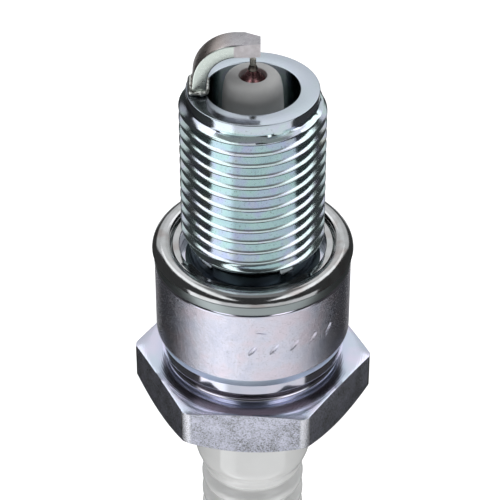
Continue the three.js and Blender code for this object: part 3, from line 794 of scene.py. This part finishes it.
def gasket_outline():
    """The folded ring's section: flat layer, crease, roll over the top and inner lip."""
    middle_radius = GASKET_RADIUS - GASKET_ROLL
    middle_height = GASKET_TOP - GASKET_ROLL
    roll = [(middle_radius + GASKET_ROLL * math.cos(angle),
             middle_height + GASKET_ROLL * math.sin(angle), 0)
            for angle in np.radians(np.linspace(6, 118, 19))]
    return rounded([
        (GASKET_BORE_RADIUS, GASKET_BOTTOM, 0.05),
        (GASKET_LAYER_RADIUS, GASKET_BOTTOM, 0.12),
        (GASKET_LAYER_RADIUS, GASKET_CREASE - 0.06, 0.1),
        (GASKET_LAYER_RADIUS - 0.22, GASKET_CREASE, 0),
        *roll,
        (8.02, GASKET_TOP - 0.42, 0.18),
        (8.05, GASKET_TOP - 1.4, 0.2),
        (GASKET_LIP_RADIUS, GASKET_TOP - 1.4, 0.08),
        (GASKET_LIP_RADIUS, GASKET_LIP_TOP, 0.12),
        (GASKET_BORE_RADIUS, GASKET_LIP_TOP, 0.08),
    ])


def gasket():
    """The folded ring, with its inner lip pushed in at the stakes to keep it on the neck."""
    angles = np.degrees(turns() * 2 * math.pi)
    stake = np.zeros(COLUMNS)
    for middle in STAKE_ANGLES:
        away = np.abs((angles - middle + 180) % 360 - 180)
        stake = np.maximum(stake, np.clip((STAKE_HALF_WIDTH - away) / STAKE_EDGE, 0, 1))
    rows = []
    for radius, height in gasket_outline():
        pushed = np.clip((STAKE_OUTER_RADIUS - radius) / STAKE_SPAN, 0, 1) * (height > STAKE_FOOT)
        rows.append((radius - STAKE_PUSH_IN * stake * pushed,
                     height - STAKE_PUSH_DOWN * stake * pushed))
    return surface("gasket_ring", rows)


# ---- Insulator and electrodes ----

def insulator():
    """The ceramic from its terminal end, over the ribs, barrel and shoulder, to the nose."""
    ribs = []
    for i in reversed(range(RIB_COUNT)):
        top = RIB_START - RIB_SPACING * i
        ribs += [(RIB_GROOVE_RADIUS, top - 2.0, 0.35), (RIB_GROOVE_RADIUS, top - 1.6, 0.35),
                 (RIB_RADIUS, top - 1.1, 0.35), (RIB_RADIUS, top - 0.2, 0.35)]
    return surface("insulator_body", rounded([
        (2.0, INSULATOR_END, 0),
        (3.6, INSULATOR_END, 0.15),
        (4.1, INSULATOR_END + 0.6, 0.3),
        (RIB_GROOVE_RADIUS, -56.9, 0.3),
        *ribs,
        (BARREL_RADIUS, BARREL_END, 0.8),
        (BARREL_RADIUS, -33.6, 0.1),
        (SHOULDER_RADIUS, -32.5, 0.2),
        (SHOULDER_RADIUS, -28.75, 0.2),
        (STEM_RADIUS, -26.95, 0.2),
        (STEM_RADIUS, -16.54, 0.1),
        (3.6, -15.49, 0.2),
        (2.8, 0, 0.4),
        (2.5, NOSE_TOP, 0.75),
        (ELECTRODE_HOLE_RADIUS, NOSE_TOP, 0.12),
        (ELECTRODE_HOLE_RADIUS, -15.25, 0.1),
        (2.0, -15.95, 0.1),
    ]))


def electrode_cone():
    return surface("electrode_cone", rounded([
        (0, -10, 0),
        (CONE_RADIUS, -10, 0.1),
        (CONE_RADIUS, 0.95, 0.08),
        (0.8, 1.4, 0.2),
        (0.45, 2.0, 0.08),
        (0, CONE_TOP, 0),
    ], closed=False), closed=False)


def weld_bead():
    foot = CONE_TOP + JOIN_GAP
    return surface("tip_weld_bead", rounded([
        (0, foot, 0),
        (0.47, foot, 0.04),
        (0.45, 2.2, 0.08),
        (0.33, 2.52, 0.1),
        (0, BEAD_TOP, 0),
    ], closed=False), closed=False)


def fine_wire():
    foot = BEAD_TOP + JOIN_GAP
    return surface("iridium_wire", rounded([
        (0, foot, 0),
        (WIRE_RADIUS, foot, 0.02),
        (WIRE_RADIUS, WIRE_TOP, 0.03),
        (0, WIRE_TOP, 0),
    ], closed=False), closed=False)


def strap_frame():
    """Turns the strap's own frame (x outwards from the axis) to its place on the shell."""
    return Matrix.Rotation(math.radians(STRAP_DIRECTION), 4, "Z")


def rounded_rectangle(half_x, half_y, corner, steps=4):
    """Points round a rectangle whose corners are arcs of the corner's radius."""
    points = []
    for quarter, (side_x, side_y) in enumerate([(1, 1), (-1, 1), (-1, -1), (1, -1)]):
        for step in range(steps + 1):
            angle = math.radians(90 * (quarter + step / steps))
            points.append((side_x * (half_x - corner) + corner * math.cos(angle),
                           side_y * (half_y - corner) + corner * math.sin(angle)))
    return points


def strap_path():
    """(outward, up, tilt) along the middle of the strap, from its foot to its tip."""
    inward, upward = math.sin(STRAP_LEAN), math.cos(STRAP_LEAN)
    bend_up = STRAP_TOP - STRAP_THICKNESS - STRAP_BEND
    leg = (bend_up + STRAP_BEND * inward) / upward
    bend_out = STRAP_ROOT_RADIUS - STRAP_BEND * upward - leg * inward
    radius = STRAP_BEND + STRAP_THICKNESS / 2
    start = (bend_out + radius * upward, bend_up + radius * inward)
    path = []
    for back in np.linspace(leg, 0, LEG_POINTS)[:-1]:
        path.append((start[0] + back * inward, start[1] - back * upward, STRAP_LEAN))
    for tilt in np.linspace(STRAP_LEAN, math.pi / 2, BEND_POINTS):
        path.append((bend_out + radius * math.cos(tilt), bend_up + radius * math.sin(tilt), tilt))
    for out in np.linspace(bend_out, -STRAP_OVERHANG, ARM_POINTS)[1:]:
        path.append((out, bend_up + radius, math.pi / 2))
    return path


def tube_faces(rings, size, closed=False):
    """Faces between rings of size points each, and from the last back to the first if closed."""
    faces = []
    for ring in range(rings if closed else rings - 1):
        after = (ring + 1) % rings
        for i in range(size):
            j = (i + 1) % size
            faces.append((ring * size + i, ring * size + j, after * size + j, after * size + i))
    return faces


def ground_strap():
    """The strap swept along its path, with its tip trimmed."""
    section = rounded_rectangle(STRAP_THICKNESS / 2, STRAP_WIDTH / 2, 0.16)
    path = strap_path()
    points = []
    for out, up, tilt in path:
        for across, side in section:
            points.append((out + across * math.cos(tilt), side, up + across * math.sin(tilt)))
    size = len(section)
    ends = [tuple(range(size)), tuple((len(path) - 1) * size + i for i in range(size))]
    thing = finished("ground_strap", points, ends + tube_faces(len(path), size))
    trim_tip(thing.data)
    thing.data.transform(strap_frame())
    smooth(thing.data)
    return thing


def trim_tip(mesh):
    """Cuts both sides of the strap's end narrower. The cut faces take material 1."""
    made = bmesh.new()
    made.from_mesh(mesh)
    for side, start, tip_reach in STRAP_TRIMS:
        run = start + STRAP_OVERHANG
        fall = STRAP_WIDTH / 2 - tip_reach
        point = Vector((start, side * STRAP_WIDTH / 2, 0)) * MM
        normal = Vector((-fall, side * run, 0)).normalized()
        arm = [vert for vert in made.verts
               if vert.co.z > (FIRING_END + TRIM_ABOVE) * MM and vert.co.x < TRIM_WITHIN * MM]
        geometry = dict.fromkeys(arm)
        for vert in arm:
            geometry.update(dict.fromkeys([*vert.link_edges, *vert.link_faces]))
        cut = bmesh.ops.bisect_plane(made, geom=list(geometry), plane_co=point, plane_no=normal,
                                     clear_outer=True)
        edges = [part for part in cut["geom_cut"] if isinstance(part, bmesh.types.BMEdge)]
        for face in bmesh.ops.contextual_create(made, geom=edges)["faces"]:
            face.material_index = 1
    bmesh.ops.recalc_face_normals(made, faces=made.faces)
    made.to_mesh(mesh)
    made.free()


def weld_flash():
    """Uneven metal squeezed out round the strap's foot."""
    middle = STRAP_ROOT_RADIUS + STRAP_THICKNESS / 2
    path = rounded_rectangle(STRAP_THICKNESS / 2, STRAP_WIDTH / 2, 0.5, 10)
    points = []
    for x, y in path:
        outward = Vector((x / STRAP_THICKNESS, y / STRAP_WIDTH)).normalized()
        lump = noise.noise(Vector((x * 1.7, y * 1.7, SEED)))
        ripple = noise.noise(Vector((x * 5, y * 5, SEED)))
        climb = 0.35 * max(0.0, x / STRAP_THICKNESS)
        for i in range(WELD_SECTION_POINTS):
            angle = 2 * math.pi * i / WELD_SECTION_POINTS
            reach = 0.12 + (0.3 + 0.16 * lump) * math.cos(angle) + 0.07 * ripple
            rise = 0.28 + (0.28 + 0.16 * lump + climb) * math.sin(angle) + 0.08 * ripple
            points.append((middle + x + outward.x * reach, y + outward.y * reach,
                           max(0.02, rise)))
    faces = tube_faces(len(path), WELD_SECTION_POINTS, closed=True)
    thing = finished("ground_weld_flash", points, faces)
    thing.data.transform(strap_frame())
    return thing


# ---- Terminal ----

def stud_thread_rows(low, high, section):
    """The M4 thread between two heights, run out at both ends."""
    def core(heights):
        return np.full(COLUMNS, STUD_ROOT_RADIUS)

    def height_share(along):
        start = np.clip(-along / RUN_OUT_TURNS, 0, 1)
        end = np.clip((high - low - 0.4) / STUD_PITCH + along, 0, 1)
        return start * end

    return thread_rows(low, high, low + 0.2, STUD_PITCH, section, core, height_share)


def terminal_stud():
    """The steel stud, with its collar under the insulator and its threaded end."""
    collar_top = INSULATOR_END - 0.04
    collar_bottom = collar_top - STUD_COLLAR_HEIGHT
    depth = STUD_CREST_RADIUS - STUD_ROOT_RADIUS
    section = [(-0.32, 0), (-0.27, 0.02), (-0.07, depth - 0.02), (0, depth),
               (0.07, depth - 0.02), (0.27, 0.02), (0.32, 0)]
    wound = stud_thread_rows(STUD_THREAD_LOW, collar_bottom - 0.3, section)
    below = rounded([
        (0, -67.28, 0),
        (1.35, -67.28, 0.1),
        (STUD_ROOT_RADIUS, STUD_THREAD_LOW - 0.05, 0),
    ], closed=False)
    above = rounded([
        (STUD_ROOT_RADIUS, collar_bottom, 0.08),
        (STUD_COLLAR_RADIUS, collar_bottom, 0.1),
        (STUD_COLLAR_RADIUS, collar_top, 0.1),
        (STUD_SHANK_RADIUS, collar_top, 0),
        (STUD_SHANK_RADIUS, -33.2, 0.1),
        (1.5, -33.1, 0.1),
        (1.5, -29.5, 0.2),
        (0, -29.5, 0),
    ], closed=False)
    helix = (len(below), len(below) + len(wound), len(section))
    return surface("stud_thread", below + wound + above, helix, closed=False)


def terminal_nut():
    """The grooved cap that the ignition lead clips onto, open at the top for the stud."""
    rim = INSULATOR_END - 0.88
    end = -FIRING_END
    return surface("nut_cap", rounded([
        (0, end, 0),
        (2.35, end, 0.1),
        (NUT_RADIUS - 0.12, end + 0.75, 0.3),
        (NUT_RADIUS, end + 1.3, 0.3),
        (NUT_RADIUS, -66.9, 0.3),
        (NUT_GROOVE_RADIUS, -66.1, 0.5),
        (NUT_GROOVE_RADIUS, -64.4, 0.5),
        (NUT_RADIUS, -63.6, 0.3),
        (NUT_RADIUS, rim, 0.2),
        (NUT_BORE_RADIUS, rim, 0.15),
        (NUT_BORE_RADIUS, -67.6, 0.1),
        (0, -68.1, 0),
    ], closed=False), closed=False)


# ---- Camera, lights and floor ----

def camera():
    """Looks down at the firing end from in front, a little to the right."""
    azimuth, elevation = math.radians(VIEW_AZIMUTH), math.radians(VIEW_ELEVATION)
    back = Vector((math.sin(azimuth) * math.cos(elevation),
                   -math.cos(azimuth) * math.cos(elevation), math.sin(elevation)))
    right = Vector((math.cos(azimuth), math.sin(azimuth), 0))
    target = (Vector((0, 0, FIRING_END + VIEW_HEIGHT)) + right * VIEW_SIDE_SHIFT) * MM
    data = bpy.data.cameras.new("camera")
    data.lens = LENS
    data.clip_start = 0.01
    made = bpy.data.objects.new("camera", data)
    made.location = target + back * VIEW_DISTANCE * MM
    made.rotation_euler = (-back).to_track_quat("-Z", "Y").to_euler()
    bpy.context.scene.collection.objects.link(made)
    bpy.context.scene.camera = made


def key_light():
    """A soft light from above that gives no reflections."""
    data = bpy.data.lights.new("key_light", "AREA")
    data.shape = "RECTANGLE"
    data.size = KEY_SIZE
    data.size_y = KEY_SIZE
    data.energy = KEY_POWER
    light = bpy.data.objects.new("key_light", data)
    light.location = KEY_PLACE
    light.rotation_euler = (KEY_AIM - KEY_PLACE).to_track_quat("-Z", "Y").to_euler()
    light.visible_glossy = False
    light.visible_camera = False
    bpy.context.scene.collection.objects.link(light)


def floor():
    """A pale bench that glows a little, so that it stays even and pale."""
    bpy.ops.mesh.primitive_plane_add(size=6, location=(0, 0, FLOOR_HEIGHT * MM))
    plane = bpy.context.object
    plane.name = "floor"
    paint = Paint("pale_floor", Roughness=0.8, Specular_IOR_Level=0.1, Emission_Strength=FLOOR_GLOW)
    shade = paint.ramp(paint.noise(60, 2), [(0.3, (0.93, 0.93, 0.93)), (0.7, (0.95, 0.95, 0.95))])
    paint.feed(paint.shader.inputs["Emission Color"], shade)
    plane.data.materials.append(paint.finish(shade))
    plane.visible_glossy = False


def studio():
    """The world's light: two bright strips overhead with a dim gap between them, a backdrop
    and a table behind the plug, a panel in front, brighter on the left, and a dark room.
    The camera itself sees a plain pale surround."""
    world = bpy.data.worlds.new("studio")
    bpy.context.scene.world = world
    world.use_nodes = True
    nodes = Nodes(world.node_tree)

    def edge(value, limits):
        return nodes.rise(value, *limits, curve="SMOOTHSTEP")

    direction = nodes.add("ShaderNodeTexCoord").outputs["Generated"]
    turned = nodes.add("ShaderNodeMapping", {
        "Vector": direction, "Rotation": (0, 0, -math.radians(VIEW_AZIMUTH))}).outputs[0]
    side, away, up = nodes.add("ShaderNodeSeparateXYZ", {0: turned}).outputs
    aside = nodes.math("ABSOLUTE", side)
    toward = nodes.math("MAXIMUM", nodes.math("MULTIPLY", away, -1.0), 0.01)
    over_spread = nodes.math("DIVIDE", aside, nodes.math("MAXIMUM", up, 0.02))
    back_spread = nodes.math("DIVIDE", aside, nodes.math("MAXIMUM", away, 0.01))
    front_spread = nodes.math("DIVIDE", aside, toward)
    front_side = nodes.math("DIVIDE", side, toward)

    overhead = edge(up, OVERHEAD_EDGE)
    strips = nodes.product(overhead, edge(over_spread, STRIP_INNER_EDGE),
                           edge(over_spread, STRIP_OUTER_EDGE), STRIP_LIGHT)
    gap = nodes.product(overhead, edge(over_spread, GAP_EDGE), edge(away, GAP_FRONT_EDGE), GAP_LIGHT)
    backdrop = nodes.product(edge(away, BACKDROP_DEPTH_EDGE), edge(up, BACKDROP_LOWER_EDGE),
                             edge(back_spread, BACKDROP_SIDE_EDGE), BACKDROP_LIGHT)
    table = nodes.product(edge(away, TABLE_DEPTH_EDGE), edge(up, TABLE_TOP_EDGE),
                          edge(back_spread, TABLE_SIDE_EDGE), TABLE_LIGHT)
    front = nodes.product(edge(front_spread, FRONT_SIDE_EDGE), edge(up, FRONT_TOP_EDGE),
                          edge(up, FRONT_LOWER_EDGE))
    left = nodes.product(front, edge(front_side, LEFT_EDGE), LEFT_LIGHT)

    light = nodes.math("MAXIMUM", strips, backdrop)
    for panel in (table, gap, nodes.product(front, FRONT_LIGHT), left, ROOM_LIGHT):
        light = nodes.math("ADD", light, panel)
    seen = nodes.add("ShaderNodeLightPath").outputs["Is Camera Ray"]
    background = nodes.tree.nodes["Background"]
    nodes.feed(background.inputs["Strength"], nodes.math("MAXIMUM", light, seen))
    nodes.feed(background.inputs["Color"], WORLD_COLOUR)


# ---- Assembly ----

def build_pieces():
    """The visible pieces, each on its body and in place of its CAD node."""
    zinc = thread_zinc()
    keep(shell_thread(), "plug", "zinc_plated_shell", zinc, "shell")
    keep(shell_body(), "plug", "zinc_plated_shell", body_zinc(), "shell")
    keep(shell_hexagon(), "plug", "zinc_plated_shell", hexagon_zinc(), "shell")
    keep(shell_collar(), "plug", "zinc_plated_shell", zinc, "shell")
    keep(gasket(), "gasket", "zinc_plated_gasket", gasket_zinc(), "gasket")

    nose = insulator()
    keep(nose, "plug", "white_alumina", white_alumina(), "insulator")
    nose.data.materials.append(glazed_alumina())
    for polygon in nose.data.polygons:
        polygon.material_index = int(polygon.center.z / MM - FIRING_END < GLAZE_TOP)

    reddish = metal("electrode_red", (0.13, 0.06, 0.06), (0.52, 0.27, 0.28), 0.2, 0.36)
    keep(electrode_cone(), "plug", "nickel_electrode", reddish, "centre_electrode")
    dark_weld = metal("bead_metal", (0.09, 0.08, 0.07), (0.24, 0.21, 0.18), 0.25, 0.45, 0.15)
    keep(weld_bead(), "plug", "weld_metal", dark_weld, "tip_weld")
    iridium = metal("iridium", (0.24, 0.23, 0.20), (0.42, 0.41, 0.36), 0.2, 0.38, 0.15)
    keep(fine_wire(), "plug", "iridium_wire", iridium, "iridium_tip")
    strap = keep(ground_strap(), "plug", "nickel_strap", strap_nickel(), "ground_electrode")
    strap.data.materials.append(cut_nickel())
    keep(weld_flash(), "plug", "weld_metal", weld_metal(), "ground_weld")

    plating = metal("nickel_plating", (0.62, 0.61, 0.58), (0.74, 0.73, 0.70), 0.14, 0.28, 0.5)
    keep(terminal_stud(), "plug", "nickel_plated_stud", plating, "terminal_stud")
    keep(terminal_nut(), "terminal_nut", "nickel_plated_nut", plating, "terminal_nut")


def paint_hidden_pieces():
    """Materials of the CAD pieces sealed inside, which keep their own shape."""
    steel = metal("packing_steel", (0.40, 0.41, 0.42), (0.56, 0.57, 0.58), 0.3, 0.5)
    copper = metal("copper", (0.60, 0.32, 0.22), (0.80, 0.48, 0.36), 0.25, 0.45)
    glass = mineral("seal_glass", (0.10, 0.14, 0.13), (0.24, 0.28, 0.25), 0.3)
    finishes = {
        "seat_washer": steel,
        "inner_packing_ring": steel,
        "outer_packing_ring": steel,
        "talc_fill": mineral("talc", (0.70, 0.68, 0.63), (0.86, 0.84, 0.79), 0.95),
        "electrode_copper_core": copper,
        "electrode_glass_seal": glass,
        "stud_glass_seal": glass,
        "resistor": mineral("resistor_body", (0.05, 0.05, 0.05), (0.14, 0.13, 0.13), 0.8),
    }
    for node, material in finishes.items():
        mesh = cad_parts[node].data
        mesh.materials.clear()
        mesh.materials.append(material)


camera()
studio()
floor()
key_light()
build_pieces()
paint_hidden_pieces()
bpy.context.scene.view_settings.view_transform = "Standard"
